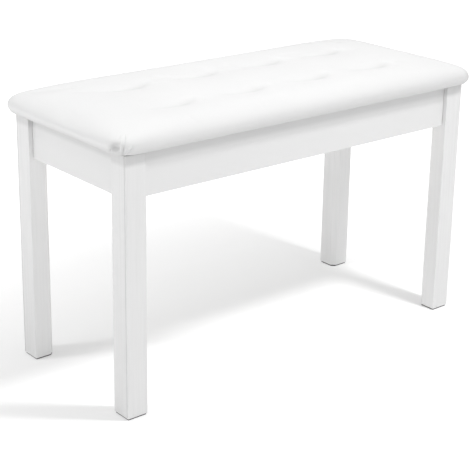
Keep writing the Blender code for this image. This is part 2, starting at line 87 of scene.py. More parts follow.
# The tufts: shallow smile-shaped folds in two rows of four. TUFT_FAINT is the left arm's share of the
# depth and TUFT_GAIN what the right arm has more, over the part TUFT_DEEPENS of the fold. A fine crease
# runs along each. FACING_UP is the least upward slope that counts as the seat's top.
TUFT_X = (-0.224, -0.077, 0.069, 0.215)
TUFT_Y = (-0.076, 0.050)
TUFT_HALF_SPAN = 57 * MM
TUFT_SAG = 17 * MM
TUFT_TILT = 0.09
TUFT_DEPTH = 5.0 * MM
TUFT_REAR_WIDTH = 12 * MM
TUFT_FRONT_WIDTH = 15 * MM
TUFT_FAINT = 0.42
TUFT_GAIN = 0.58
TUFT_DEEPENS = (-0.35, 0.55)
CREASE_DEPTH = 0.4 * MM
CREASE_WIDTH = 3.2 * MM
FACING_UP = 0.3

# How the leather is blown up: the hem and the tufts are held, and no point swells past SWELL_CAP.
HELD_HEIGHT = 5 * MM
HELD_TUFT_WIDTH = 5 * MM
HELD_TUFT_SHARE = 0.95
HELD_LEAST = 0.02
PRESSURE = 3.0
FRAMES = 20
SWELL_CAP = 3.5 * MM

# The corners' pleats: (angle from the end face, lean across their height, lowest and highest point,
# width, push). Angles and widths are in degrees about a centre PLEAT_CENTRE in from both sides.
PLEAT_CENTRE = 40 * MM
PLEAT_START = 22 * MM
PLEAT_RAMP = 10 * MM
PLEAT_MARGIN = 5
FINE_REACH = 62 * MM
FRONT_LEFT_PLEATS = (
    (30.0, 4.0, 6.0 * MM, 18.5 * MM, 12.0, -5.8 * MM),
    (43.5, 1.0, 3.0 * MM, 21.0 * MM, 1.5, 2.4 * MM),
    (49.0, 3.0, 2.0 * MM, 17.0 * MM, 2.4, -2.2 * MM),
    (57.0, 14.0, 1.0 * MM, 15.0 * MM, 2.2, 1.8 * MM),
    (64.0, 10.0, 4.0 * MM, 15.0 * MM, 3.0, -1.2 * MM),
    (15.0, 2.0, 2.0 * MM, 9.0 * MM, 3.5, -2.6 * MM),
    (52.0, -3.0, 18.0 * MM, 42.0 * MM, 1.8, -1.0 * MM),
    (38.0, 4.0, 20.0 * MM, 38.0 * MM, 2.5, -0.5 * MM),
)
PLAIN_PLEATS = (
    (30.0, 3.0, 2.0 * MM, 22.0 * MM, 2.6, -1.5 * MM),
    (38.0, 1.0, 2.0 * MM, 20.0 * MM, 2.4, 1.2 * MM),
    (46.0, -2.0, 1.0 * MM, 24.0 * MM, 2.4, -2.0 * MM),
    (54.0, -2.0, 2.0 * MM, 18.0 * MM, 2.4, 1.1 * MM),
    (62.0, -5.0, 2.0 * MM, 20.0 * MM, 2.6, -1.3 * MM),
)

# Small pulls in the leather along its edges: (x, y, turn in degrees, length, depth).
PULL_WIDTH = 2.2 * MM
EDGE_PULLS = (
    (-0.240, -0.150, 100, 26 * MM, 0.8 * MM),
    (-0.252, -0.152, 70, 16 * MM, 0.5 * MM),
    (-0.102, -0.153, 95, 22 * MM, 0.6 * MM),
    (0.070, -0.156, 84, 18 * MM, 0.4 * MM),
    (0.262, -0.154, 98, 20 * MM, 0.5 * MM),
    (-0.372, -0.040, 5, 20 * MM, 0.5 * MM),
    (-0.370, 0.070, -6, 18 * MM, 0.4 * MM),
    (0.372, -0.030, 8, 20 * MM, 0.5 * MM),
    (0.371, 0.062, -4, 18 * MM, 0.5 * MM),
    (-0.180, 0.153, 86, 22 * MM, 0.6 * MM),
    (0.030, 0.154, 95, 18 * MM, 0.5 * MM),
    (0.215, 0.153, 88, 22 * MM, 0.6 * MM),
)

# Painted shade in the tufts' folds, along the leather's lower edge and in the corners' tucks. The
# depths are how much darker the leather is there. The folds' band is a thin share of its width where a
# tuft is faint and a wider share where it is deep. A tuck of the given fold depth or more is fully dark.
FOLD_SHADE_DEPTH = 0.095
FOLD_SHADE_WIDTH = 9.5 * MM
FOLD_SHADE_THIN = 0.3
FOLD_SHADE_SPREAD = 0.7
FOLD_SHADE_FADE = 1.5
EDGE_SHADE_DEPTH = 0.23
EDGE_SHADE_TOP = 13 * MM
FULL_SHADE_TUCK = 3.2 * MM

# The frame's paint -------------------------------------------------------------------------------------

# It has painted shade in a strip under the seat's overhang, which starts the given reach below the
# frame's top and is full at the given share of that. A glue line shows on each leg's end face.
PAINT_TONE = 0.80
PAINT_SHADE = 0.14
PAINT_SHADE_REACH = 20 * MM
PAINT_SHADE_FULL = 0.65
JOINT_INSET = 2.6 * MM
JOINT_WIDTH = 0.9 * MM

# Under the lid -----------------------------------------------------------------------------------------

# The dust cloth: a thin sheet with a slight wave, puckered by its staples.
CLOTH_THICKNESS = 0.5 * MM
CLOTH_GRID = (160, 64)
CLOTH_CORNER = 30 * MM
CLOTH_WAVE = 0.12 * MM
CLOTH_WAVES = 14
CLOTH_PUCKER = 0.6
CLOTH_PUCKER_REACH = 14 * MM
NOISE_SLICE = 0.7

# Staples, shaken a little crooked. The path is (share of the length, height in millimetres). A row starts
# STAPLE_CORNER corner radii from the corner and leaves room round hinges, tracks and bumpers.
STAPLE_PITCH = 34 * MM
STAPLE_LENGTH = 11 * MM
STAPLE_WIRE = 1.1 * MM
STAPLE_THICKNESS = 0.45 * MM
STAPLE_TAPER = 0.06
STAPLE_PATH = ((-0.5, 0.30), (-0.5, -0.35), (-0.44, -0.55), (0.44, -0.55), (0.5, -0.35), (0.5, 0.30))
STAPLE_CORNER = 1.4
SHAKE_ALONG = 3 * MM
SHAKE_ACROSS = 1.6 * MM
SHAKE_TURN = 0.35
HEM_STAPLE_INSET = 15 * MM
CLOTH_STAPLE_INSET = 31 * MM
CLOTH_STAPLE_LIFT = 0.1 * MM
STAPLE_MARGIN = 8 * MM
HINGE_MARGIN = 4 * MM

# Screw heads: a dome with a cross recess. Rings, cross and dome are shares of the radius and height.
HEAD_SIDES = 40
HEAD_RINGS = (0.10, 0.19, 0.30, 0.45, 0.58, 0.64, 0.80, 0.93, 1.0)
HEAD_SINK = 0.05 * MM
HEAD_DOME = 0.72
HEAD_DOME_POWER = 2.4
CROSS_HALF_WIDTH = 0.15
CROSS_REACH = 0.60
CROSS_DEPTH = 0.55
FIRST_TURN = 0.3
NEXT_TURN = 0.9

# Where the screws sit. A hinge's are (distance from its middle, height on the fixed leaf). HEAD_SEAT is
# how far a head's base lies under the top of its leaf or track. Shares are along the track or cleat.
HINGE_SCREWS = ((-20 * MM, 12 * MM), (0.0, 7 * MM), (20 * MM, 12 * MM))
FIXED_LEAF_FACE = 150.0 * MM
MOVING_LEAF_EDGE = 5.5 * MM
HEAD_SEAT = 1.4 * MM
BRACKET_FACE = 342.7 * MM
BRACKET_LOW = 3.4 * MM
BRACKET_HIGH = 2.8 * MM
TRACK_MIDDLE = 331.2 * MM
TRACK_SHARES = (0.12, 0.5, 0.88)
CLEAT_SHARES = (-0.44, -0.22, 0.0, 0.22, 0.44)

# The stage ---------------------------------------------------------------------------------------------

# The camera, fitted to the photo's perspective. Angles are in degrees.
CAMERA_PLACE = (-1.4145, -1.6632, 1.0002)
CAMERA_HEADING = 39.77
CAMERA_DIP = 18.17
CAMERA_ROLL = 0.918
CAMERA_LENS = 100.1
CAMERA_SHIFT = -0.117

# The surround: its strength at the horizon and overhead, and as the camera sees it.
SKY_LOW = 0.30
SKY_HIGH = 0.82
SKY_SEEN = 1.05

# Lights: (name, place, aimed at, width and height, power, piece it is linked to, how).
KEY_PLACE = (0.45, -0.84, 1.54)
KEY_AIM = (0.0, 0.0, 0.3)
KEY_SIZE = (0.20, 0.20)
LIGHTS = (
    ("key", KEY_PLACE, KEY_AIM, KEY_SIZE, 6.8, "seat", "EXCLUDE"),
    ("top", (0.16, -0.30, 2.2), (0.05, 0.0, 0.4), (0.8, 0.8), 15.6, "seat", "INCLUDE"),
    ("front", (-1.3, -1.9, 1.75), (0.0, 0.0, 0.35), (0.35, 0.35), 4.5, "floor", "EXCLUDE"),
    ("floor_key", KEY_PLACE, KEY_AIM, KEY_SIZE, 15.5, "floor", "INCLUDE"),
    ("floor_fill", (-2.0, 0.88, 0.9), (-0.3, 0.0, 0.0), (0.45, 0.45), 18.0, "floor", "INCLUDE"),
    ("fill", (-1.9, 0.5, 1.15), (-0.2, 0.0, 0.25), (1.2, 0.8), 3.8, None, None),
)

# The floor: its grey, and a glow that grows away from the bench and towards the rear, between the
# distances START and END.
FLOOR_HALF = 6.0
FLOOR_TONE = 0.60
GLOW_NEAR = 0.29
GLOW_FAR = 0.56
GLOW_START = 0.45
GLOW_END = 1.6
GLOW_REAR = 0.24
REAR_START = 0.10
REAR_END = 0.60


# Small tools -------------------------------------------------------------------------------------------


def smoothstep(low, high, value):
    """Zero below low, one above high, smooth between."""
    t = min(max((value - low) / (high - low), 0.0), 1.0)
    return t * t * (3 - 2 * t)


def bell(value, width):
    """One at zero, falling off smoothly over a width."""
    return math.exp(-((value / width) ** 2))


def add_piece(name, mesh, material, body):
    """A new visible object made from a mesh, riding on a CAD body."""
    mesh.materials.clear()
    mesh.materials.append(material)
    piece = bpy.data.objects.new(name, mesh)
    bpy.context.scene.collection.objects.link(piece)
    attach(piece, body)
    return piece


def mesh_from(name, points, faces):
    """A mesh from lists of points and faces."""
    mesh = bpy.data.meshes.new(name)
    mesh.from_pydata([tuple(p) for p in points], [], faces)
    mesh.update()
    return mesh


def shade_smooth(mesh):
    """Smooth shading on every face."""
    mesh.polygons.foreach_set("use_smooth", [True] * len(mesh.polygons))


# Materials ---------------------------------------------------------------------------------------------


class Nodes:
    """A short way to write a material's node tree."""

    def __init__(self, name, colour, roughness, metallic=0.0, specular=0.5):
        self.material = bpy.data.materials.new(name)
        self.material.use_nodes = True
        self.tree = self.material.node_tree
        self.shader = self.tree.nodes["Principled BSDF"]
        self.shader.inputs["Base Color"].default_value = (*colour, 1.0)
        self.shader.inputs["Roughness"].default_value = roughness
        self.shader.inputs["Metallic"].default_value = metallic
        self.shader.inputs["Specular IOR Level"].default_value = specular

    def add(self, kind, **settings):
        """A new node, with its inputs or properties set."""
        node = self.tree.nodes.new(kind)
        for key, value in settings.items():
            if key in node.inputs:
                node.inputs[key].default_value = value
            else:
                setattr(node, key, value)
        return node

    def link(self, source, output, target, socket):
        """A link from one node's output to another's socket."""
        self.tree.links.new(source.outputs[output], target.inputs[socket])

    def coordinates(self, scale=(1, 1, 1)):
        """Object coordinates stretched by a scale along each axis."""
        place = self.add("ShaderNodeTexCoord")
        stretch = self.add("ShaderNodeMapping", Scale=scale)
        self.link(place, "Object", stretch, "Vector")
        return stretch

    def axes(self):
        """Object coordinates split into X, Y and Z."""
        split = self.add("ShaderNodeSeparateXYZ")
        self.link(self.add("ShaderNodeTexCoord"), "Object", split, "Vector")
        return split

    def noise(self, scale, detail=4.0, roughness=0.5, stretch=(1, 1, 1), distortion=0.0):
        """A noise field over stretched object coordinates."""
        field = self.add("ShaderNodeTexNoise", Scale=scale, Detail=detail, Roughness=roughness)
        field.inputs["Distortion"].default_value = distortion
        self.link(self.coordinates(stretch), "Vector", field, "Vector")
        return field

    def ramp(self, source, output, stops):
        """A colour ramp from a field: stops are (position, colour)."""
        ramp = self.add("ShaderNodeValToRGB")
        ramp.color_ramp.elements[0].position = stops[0][0]
        ramp.color_ramp.elements[0].color = (*stops[0][1], 1.0)
        ramp.color_ramp.elements[1].position = stops[-1][0]
        ramp.color_ramp.elements[1].color = (*stops[-1][1], 1.0)
        for position, colour in stops[1:-1]:
            ramp.color_ramp.elements.new(position).color = (*colour, 1.0)
        self.link(source, output, ramp, "Fac")
        return ramp

    def span(self, source, output, low, high, from_low=0.3, from_high=0.7):
        """A field mapped to a number between low and high."""
        span = self.add("ShaderNodeMapRange")
        span.inputs["From Min"].default_value = from_low
        span.inputs["From Max"].default_value = from_high
        span.inputs["To Min"].default_value = low
        span.inputs["To Max"].default_value = high
        self.link(source, output, span, "Value")
        return span

    def maths(self, operation, source, output, number=0.0):
        """A field combined with a number."""
        node = self.add("ShaderNodeMath", operation=operation)
        node.inputs[1].default_value = number
        self.link(source, output, node, 0)
        return node

    def bump(self, source, output, height, strength=1.0, under=None):
        """A bump of a height in metres, laid over another one if given."""
        bump = self.add("ShaderNodeBump", Strength=strength, Distance=height)
        self.link(source, output, bump, "Height")
        if under is not None:
            self.link(under, "Normal", bump, "Normal")
        self.link(bump, "Normal", self.shader, "Normal")
        return bump

    def times(self, first, first_output, second, second_output):
        """Two colours multiplied."""
        mix = self.add("ShaderNodeMix", data_type="RGBA", blend_type="MULTIPLY")
        mix.inputs["Factor"].default_value = 1.0
        self.link(first, first_output, mix, "A")
        self.link(second, second_output, mix, "B")
        return mix


def grey(value):
    """A colour with equal red, green and blue."""
    return (value, value, value)


WHITE = grey(1.0)


def grain_along(axis, finer):
    """The stretch of a grain that runs along X, Y or Z and is finer across."""
    return tuple(1 if each == axis else finer for each in "XYZ")


def painted_wood(name, along, joints=False):
    """White satin paint over faint grain along X, Y or Z, with painted shade in hollows and under the
    seat.
    """
    m = Nodes(name, grey(PAINT_TONE), 0.45)
    stretch = grain_along(along, 30)
    faint = 1.0 if along == "Z" else 0.25
    grain = m.noise(7.0, 5.0, 0.6, stretch, 0.3)
    pores = m.noise(34.0, 3.0, 0.7, stretch)
    clouds = m.noise(6.0, 3.0)
    late = grey(0.812 - 0.026 * faint)
    early = grey(0.805 + 0.015 * faint)
    tone = m.ramp(grain, "Fac", [(0.30, late), (0.60, early)])
    shade = m.ramp(clouds, "Fac", [(0.30, grey(0.978)), (0.70, WHITE)])
    colour = m.times(tone, "Color", shade, "Color")
    # Painted shade: the paint is darker where it curves inwards, in inner corners and hollows.
    curvature = m.add("ShaderNodeNewGeometry")
    cavity_shade = m.ramp(curvature, "Pointiness", [(0.46, grey(0.93)), (0.50, WHITE), (0.56, WHITE)])
    colour = m.times(colour, "Result", cavity_shade, "Color")
    # Painted shade: the paint darkens in a strip under the seat's overhang, towards the frame's top.
    painted_shade_low = FRAME_TOP - PAINT_SHADE_REACH
    painted_shade_full = FRAME_TOP - PAINT_SHADE_FULL * PAINT_SHADE_REACH
    painted_shade = m.span(m.axes(), "Z", 1.0, 1.0 - PAINT_SHADE, painted_shade_low, painted_shade_full)
    colour = m.times(colour, "Result", painted_shade, "Result")
    coarse = m.bump(grain, "Fac", 0.20 * MM, 0.30 * faint)
    fine = m.bump(pores, "Fac", 0.05 * MM, 0.35 * faint, coarse)
    if joints:
        line = edge_joint(m)
        dark = m.ramp(line, "Value", [(0.0, grey(0.70)), (1.0, WHITE)])
        colour = m.times(colour, "Result", dark, "Color")
        m.bump(line, "Value", 0.4 * MM, 0.5, fine)
    m.link(colour, "Result", m.shader, "Base Color")
    m.link(m.span(clouds, "Fac", 0.40, 0.52), "Result", m.shader, "Roughness")
    return m.material


def edge_joint(m):
    """Zero on the glue line that runs down each leg's end face beside its outer edge, one elsewhere."""
    split = m.axes()
    depth = m.maths("ABSOLUTE", split, "Y")
    off_line = m.maths("SUBTRACT", depth, "Value", LEG_OUTER_Y - JOINT_INSET)
    distance = m.maths("ABSOLUTE", off_line, "Value")
    line = m.span(distance, "Value", 0.0, 1.0, JOINT_WIDTH / 2, JOINT_WIDTH)
    side = m.maths("ABSOLUTE", split, "X")
    inner = m.maths("LESS_THAN", side, "Value", LEG_OUTER_X - JOINT_WIDTH)
    both = m.maths("MAXIMUM", line, "Result")
    m.link(inner, "Value", both, 1)
    return both


def white_leather():
    """Satin synthetic leather with a fine pebble grain, soft creases and painted shade in its folds."""
    m = Nodes("white_leather", grey(0.86), 0.60, specular=0.20)
    pebbles = m.add("ShaderNodeTexVoronoi", Scale=820.0)
    pebbles.feature = "SMOOTH_F1"
    m.link(m.coordinates(), "Vector", pebbles, "Vector")
    fine = m.noise(1500.0, 3.0, 0.6)
    creases = m.noise(70.0, 5.0, 0.6, distortion=1.2)
    clouds = m.noise(9.0, 3.0)
    tone = m.ramp(clouds, "Fac", [(0.3, grey(0.836)), (0.7, grey(0.852))])
    cells = m.ramp(pebbles, "Distance", [(0.0, WHITE), (0.55, grey(0.985)), (0.9, grey(0.955))])
    # Painted shade: the leather is darker where it curves inwards, in creases and hollows.
    curvature = m.add("ShaderNodeNewGeometry")
    folds = m.ramp(curvature, "Pointiness", [(0.44, grey(0.90)), (0.495, WHITE), (0.54, WHITE)])
    colour = m.times(tone, "Color", cells, "Color")
    colour = m.times(colour, "Result", folds, "Color")
    # Painted shade: darker in the tufts' folds, along the lower edge and in the corners' tucks.
    for attribute, depth in (("fold_shade", FOLD_SHADE_DEPTH), ("edge_and_tuck_shade", EDGE_SHADE_DEPTH)):
        dirt = m.add("ShaderNodeAttribute", attribute_name=attribute)
        darker = m.ramp(dirt, "Fac", [(0.0, WHITE), (1.0, grey(1.0 - depth))])
        colour = m.times(colour, "Result", darker, "Color")
    m.link(colour, "Result", m.shader, "Base Color")
    m.link(m.span(creases, "Fac", 0.54, 0.68), "Result", m.shader, "Roughness")
    soft = m.bump(creases, "Fac", 0.25 * MM, 0.30)
    grain = m.bump(pebbles, "Distance", 0.10 * MM, 0.5, soft)
    m.bump(fine, "Fac", 0.03 * MM, 0.5, grain)
    return m.material


def bare_wood(name, light, dark, along, scale):
    """Unpainted timber or plywood with grain along X, Y or Z."""
    m = Nodes(name, light, 0.7)
    stretch = grain_along(along, 18)
    grain = m.noise(scale, 6.0, 0.65, stretch, 0.6)
    fibres = m.noise(scale * 7, 3.0, 0.7, stretch)
    late = tuple(c * 0.94 for c in light)
    tone = m.ramp(grain, "Fac", [(0.32, dark), (0.52, light), (0.68, late)])
    flecks = m.ramp(fibres, "Fac", [(0.35, grey(0.90)), (0.55, WHITE)])
    colour = m.times(tone, "Color", flecks, "Color")
    m.link(colour, "Result", m.shader, "Base Color")
    m.link(m.span(grain, "Fac", 0.60, 0.80), "Result", m.shader, "Roughness")
    coarse = m.bump(grain, "Fac", 0.25 * MM, 0.5)
    m.bump(fibres, "Fac", 0.08 * MM, 0.6, coarse)
    return m.material


def zinc_steel():
    """Zinc-plated steel: brushed and a little blotched."""
    m = Nodes("zinc_steel", (0.62, 0.63, 0.65), 0.34, metallic=1.0)
    blotch = m.noise(90.0, 4.0)
    brush = m.noise(160.0, 3.0, 0.6, grain_along("X", 24))
    dull = (0.52, 0.53, 0.55)
    plain = (0.64, 0.65, 0.66)
    bright = (0.70, 0.70, 0.70)
    tone = m.ramp(blotch, "Fac", [(0.3, dull), (0.5, plain), (0.7, bright)])
    m.link(tone, "Color", m.shader, "Base Color")
    m.link(m.span(brush, "Fac", 0.26, 0.46), "Result", m.shader, "Roughness")
    m.bump(brush, "Fac", 0.03 * MM, 0.5)
    return m.material


def matt_black(name, tone, roughness, scale, height):
    """Rubber or felt: dark, dusty and finely rough."""
    m = Nodes(name, grey(tone), roughness, specular=0.3)
    marks = m.noise(120.0, 4.0)
    rough = m.noise(scale, 4.0, 0.7)
    colour = m.ramp(marks, "Fac", [(0.35, grey(tone)), (0.65, grey(tone * 1.9))])
    m.link(colour, "Color", m.shader, "Base Color")
    m.link(m.span(marks, "Fac", roughness - 0.08, roughness + 0.06), "Result", m.shader, "Roughness")
    m.bump(rough, "Fac", height, 0.7)
    return m.material


def dust_cloth():
    """Black spun-bonded cloth: pressed fibres with a small lattice of bonded spots."""
    m = Nodes("dust_cloth", grey(0.035), 0.85, specular=0.25)
    fibres = m.noise(900.0, 4.0, 0.75, (1, 2.2, 1), 1.5)
    spots = m.add("ShaderNodeTexVoronoi", Scale=420.0, Randomness=0.15)
    m.link(m.coordinates(), "Vector", spots, "Vector")
    clouds = m.noise(14.0, 3.0)
    tone = m.ramp(fibres, "Fac", [(0.35, grey(0.022)), (0.65, grey(0.060))])
    shade = m.ramp(clouds, "Fac", [(0.3, grey(0.8)), (0.7, WHITE)])
    colour = m.times(tone, "Color", shade, "Color")
    m.link(colour, "Result", m.shader, "Base Color")
    m.link(m.span(fibres, "Fac", 0.75, 0.92), "Result", m.shader, "Roughness")
    coarse = m.bump(spots, "Distance", 0.12 * MM, 0.6)
    m.bump(fibres, "Fac", 0.05 * MM, 0.6, coarse)
    return m.material


PAINT_Z = painted_wood("painted_legs", "Z", joints=True)
PAINT_X = painted_wood("painted_long_aprons", "X")
PAINT_Y = painted_wood("painted_end_aprons", "Y")
LEATHER = white_leather()
PINE = bare_wood("pine", (0.74, 0.68, 0.58), (0.62, 0.53, 0.40), "X", 5.0)
PINE_UP = bare_wood("pine_blocks", (0.74, 0.68, 0.58), (0.62, 0.53, 0.40), "Z", 5.0)
PLY = bare_wood("birch_ply", (0.80, 0.77, 0.71), (0.72, 0.67, 0.58), "X", 3.2)
PANEL = bare_wood("white_panel", (0.84, 0.84, 0.83), (0.80, 0.80, 0.79), "X", 3.2)
STEEL = zinc_steel()
RUBBER = matt_black("rubber", 0.030, 0.60, 500.0, 0.05 * MM)
FELT = matt_black("felt", 0.022, 0.85, 1400.0, 0.25 * MM)
CLOTH = dust_cloth()

NODE_FINISHES = {
    PAINT_Z: [f"leg_{c}" for c in CORNERS],
    PAINT_X: ["apron_front", "apron_rear"],
    PAINT_Y: ["apron_left", "apron_right"],
    PINE: ["panel_cleat_front", "panel_cleat_rear"],
    PINE_UP: [f"corner_block_{c}" for c in CORNERS],
    PLY: ["seat_board"],
    PANEL: ["bottom_panel"],
    RUBBER: [f"lid_bumper_{c}" for c in CORNERS],
    FELT: [f"foot_pad_{c}" for c in CORNERS],
    STEEL: (
        [f"{part}_{c}_{v}" for part in ("leg_bolt", "washer") for c in CORNERS for v in LEVELS]
        + [f"hinge_{part}_{e}" for part in ("leaf_fixed", "leaf_moving", "pin") for e in ENDS]
        + [f"stay_{part}_{e}" for part in ("track", "bracket", "rivet", "arm") for e in ENDS]
    ),
}

for material, names in NODE_FINISHES.items():
    for name in names:
        nodes[name].data.materials.clear()
        nodes[name].data.materials.append(material)


# The seat's leather ------------------------------------------------------------------------------------


def seat_section():
    """(inset, height) along the leather from the hem's cut edge to the inner end of the shoulder."""
    points = [(HEM_INSET, LID_BOTTOM + HEM_RETURN)]
    for step in range(HEM_STEPS):
        share = step / HEM_STEPS
        points.append((HEM_INSET + share * (LOWER_ROUND - HEM_INSET), LID_BOTTOM))
    for step in range(SIDE_STEPS):
        angle = step / SIDE_STEPS * math.pi / 2
        across = LOWER_ROUND * (1 - math.sin(angle))
        points.append((across, LID_BOTTOM + BULGE_HEIGHT * (1 - math.cos(angle))))
    for step in range(SHOULDER_STEPS):
        angle = step / SHOULDER_STEPS * math.pi / 2
        across = SHOULDER_WIDTH * (1 - math.cos(angle) ** SHOULDER_POWER)
        rise = SHOULDER_RISE * math.sin(angle) ** SHOULDER_POWER
        points.append((across, LID_BOTTOM + BULGE_HEIGHT + rise))
    return points


def corner_softness(inset):
    """The plan radius of the leather's corners at an inset from the outline."""
    return max(CORNER_RADIUS - CORNER_SHARPENING * max(inset, 0.0), 0.0)


def round_the_corner(x, y, half_x, half_y, radius):
    """Move a point on a sharp rectangle to the same place on one with round corners."""
    if radius < 1e-6:
        return x, y
    near_x = half_x - abs(x)
    near_y = half_y - abs(y)
    if near_x >= radius or near_y >= radius:
        return x, y
    if near_x > near_y:
        angle = math.pi / 4 * (1 + near_x / radius)
    else:
        angle = math.pi / 4 * (1 - near_y / radius)
    round_x = half_x - radius + radius * math.cos(angle)
    round_y = half_y - radius + radius * math.sin(angle)
    return math.copysign(round_x, x), math.copysign(round_y, y)


def crown(x, y):
    """The gentle dome of the seat's top."""
    across = 1 - (y / HALF_WIDTH) ** 2
    along = 1 - (x / HALF_LENGTH) ** 4
    corner = math.hypot(HALF_LENGTH - abs(x), HALF_WIDTH - abs(y))
    drop = CORNER_DROP * (1 - smoothstep(0.0, CORNER_REACH, corner))
    return CROWN_RISE * max(across, 0.0) * max(along, 0.0) - drop


def tufts_at(x, y):
    """(share along the fold from -1 to 1, distance behind it) for every tuft that is near."""
    radius = (TUFT_HALF_SPAN**2 + TUFT_SAG**2) / (2 * TUFT_SAG)
    half_angle = math.asin(TUFT_HALF_SPAN / radius)
    found = []
    for row in TUFT_Y:
        for column in TUFT_X:
            dx = x - column
            dy = row - TUFT_SAG / 2 + radius - y + TUFT_TILT * dx
            if abs(dx) > 2 * TUFT_HALF_SPAN or abs(y - row) > 2 * TUFT_HALF_SPAN:
                continue
            found.append((math.atan2(dx, dy) / half_angle, radius - math.hypot(dx, dy)))
    return found


def fold_strength(share):
    """How deep a tuft is along its length: deepest on its right arm, faint on its left one."""
    ends = max(1 - abs(share) ** 4, 0.0) if abs(share) < 1 else 0.0
    return ends * (TUFT_FAINT + TUFT_GAIN * smoothstep(*TUFT_DEEPENS, share))


def fold_depth(x, y):
    """How far the tufts pull the top down, before the leather is blown up between them."""
    depth = 0.0
    for share, behind in tufts_at(x, y):
        width = TUFT_REAR_WIDTH if behind > 0 else TUFT_FRONT_WIDTH
        depth += TUFT_DEPTH * fold_strength(share) * bell(behind, width)
    return depth


def leather_sheet():
    """The leather as one sheet of quads: a flat grid whose outer rings wrap down the sides and under."""
    section = seat_section()
    wrap = len(section)
    top_width = HALF_WIDTH - SHOULDER_WIDTH
    top_rings = round(top_width / CELL)
    rings = wrap + top_rings
    extra = round(2 * (HALF_LENGTH - HALF_WIDTH) / CELL)
    columns = 2 * rings + extra
    rows = 2 * rings
    shoulder_top = LID_BOTTOM + BULGE_HEIGHT + SHOULDER_RISE
    points = []
    for j in range(rows + 1):
        for i in range(columns + 1):
            ring = min(i, columns - i, j, rows - j)
            if ring < wrap:
                inset, height = section[ring]
            else:
                inset = SHOULDER_WIDTH + (ring - wrap) / top_rings * top_width
                height = shoulder_top
            half_x = HALF_LENGTH - inset
            half_y = HALF_WIDTH - inset
            steps_x = columns - 2 * ring
            steps_y = rows - 2 * ring
            x = half_x * (2 * (i - ring) / steps_x - 1)
            y = half_y * (2 * (j - ring) / steps_y - 1) if steps_y else 0.0
            x, y = round_the_corner(x, y, half_x, half_y, corner_softness(inset))
            lift = smoothstep(0.0, SHOULDER_WIDTH, inset) if ring >= wrap - SHOULDER_STEPS else 0.0
            height += lift * (crown(x, y) - fold_depth(x, y))
            points.append((x, y, height))
    faces = []
    for j in range(rows):
        for i in range(columns):
            first = j * (columns + 1) + i
            faces.append((first, first + 1, first + columns + 2, first + columns + 1))
    return points, faces


def held_points(points):
    """(index, weight) of the points that the simulation holds: the hem and the tufts' folds."""
    held = []
    for index, (x, y, z) in enumerate(points):
        if z < LID_BOTTOM + HELD_HEIGHT:
            held.append((index, 1.0))
            continue
        folds = [behind for share, behind in tufts_at(x, y) if abs(share) < HELD_TUFT_SHARE]
        weight = max((bell(behind, HELD_TUFT_WIDTH) for behind in folds), default=0.0)
        if weight > HELD_LEAST and z > LID_BOTTOM + BULGE_HEIGHT:
            held.append((index, weight))
    return held


def blow_up(piece, held, pressure, frames, cap):
    """Inflate a piece by cloth simulation and keep the result.

    Held points stay where they are, and no point moves past a soft cap.
    """
    start = [v.co.copy() for v in piece.data.vertices]
    group = piece.vertex_groups.new(name="held")
    for index, weight in held:
        group.add([index], weight, "REPLACE")
    cloth = piece.modifiers.new("cloth", "CLOTH")
    cloth.settings.quality = 5
    cloth.settings.mass = 0.35
    cloth.settings.tension_stiffness = 60
    cloth.settings.compression_stiffness = 60
    cloth.settings.shear_stiffness = 25
    cloth.settings.bending_stiffness = 4.0
    cloth.settings.air_damping = 2.0
    cloth.settings.vertex_group_mass = "held"
    cloth.settings.use_pressure = True
    cloth.settings.uniform_pressure_force = pressure
    cloth.settings.effector_weights.gravity = 0
    cloth.collision_settings.use_collision = False
    cloth.collision_settings.use_self_collision = False
    cloth.point_cache.frame_start = 1
    cloth.point_cache.frame_end = frames
    scene = bpy.context.scene
    for step in range(1, frames + 1):
        scene.frame_set(step)
    graph = bpy.context.evaluated_depsgraph_get()
    result = piece.evaluated_get(graph).to_mesh()
    moved = [v.co.copy() for v in result.vertices]
    piece.evaluated_get(graph).to_mesh_clear()
    piece.modifiers.remove(cloth)
    piece.vertex_groups.clear()
    scene.frame_set(1)
    for vertex, before, after in zip(piece.data.vertices, start, moved):
        shift = after - before
        size = shift.length
        if size > 1e-9:
            vertex.co = before + shift * (cap * math.tanh(size / cap) / size)


def apply_modifiers(piece):
    """Turn a piece's modifiers into its own mesh."""
    graph = bpy.context.evaluated_depsgraph_get()
    mesh = bpy.data.meshes.new_from_object(piece.evaluated_get(graph), depsgraph=graph)
    piece.modifiers.clear()
    piece.data = mesh
    return mesh


def refine_corners(mesh):
    """Cut the quads near the four corners finer, for the pleats."""
    work = bmesh.new()
    work.from_mesh(mesh)
    chosen = set()
    for face in work.faces:
        centre = face.calc_center_median()
        near_x = HALF_LENGTH - abs(centre.x)
        near_y = HALF_WIDTH - abs(centre.y)
        if math.hypot(max(near_x, 0), max(near_y, 0)) < FINE_REACH and centre.z > LID_BOTTOM + FLAT_HEM:
            chosen.update(face.edges)
    bmesh.ops.subdivide_edges(work, edges=list(chosen), cuts=2, use_grid_fill=True, smooth=0.0)
    work.to_mesh(mesh)
    work.free()


def corner_at(point):
    """Where a point is about the nearest corner's turning centre.

    (side of x, side of y, angle in degrees from the end face, distance)
    """
    side_x = math.copysign(1.0, point.x)
    side_y = math.copysign(1.0, point.y)
    dx = abs(point.x) - (HALF_LENGTH - PLEAT_CENTRE)
    dy = abs(point.y) - (HALF_WIDTH - PLEAT_CENTRE)
    return side_x, side_y, math.degrees(math.atan2(dy, dx)), math.hypot(dx, dy)


def pleat_push(angle, z, strength, pleats):
    """How far the leather moves out at a corner: ridges and tucks that lean across the corner."""
    height = z - LID_BOTTOM
    push = 0.0
    for at, lean, low, high, width, size in pleats:
        middle = (low + high) / 2
        line = at + lean * (height - middle) / (high - low)
        along = bell(height - middle, (high - low) / 2)
        push += size * along * bell(angle - line, width)
    return push * strength


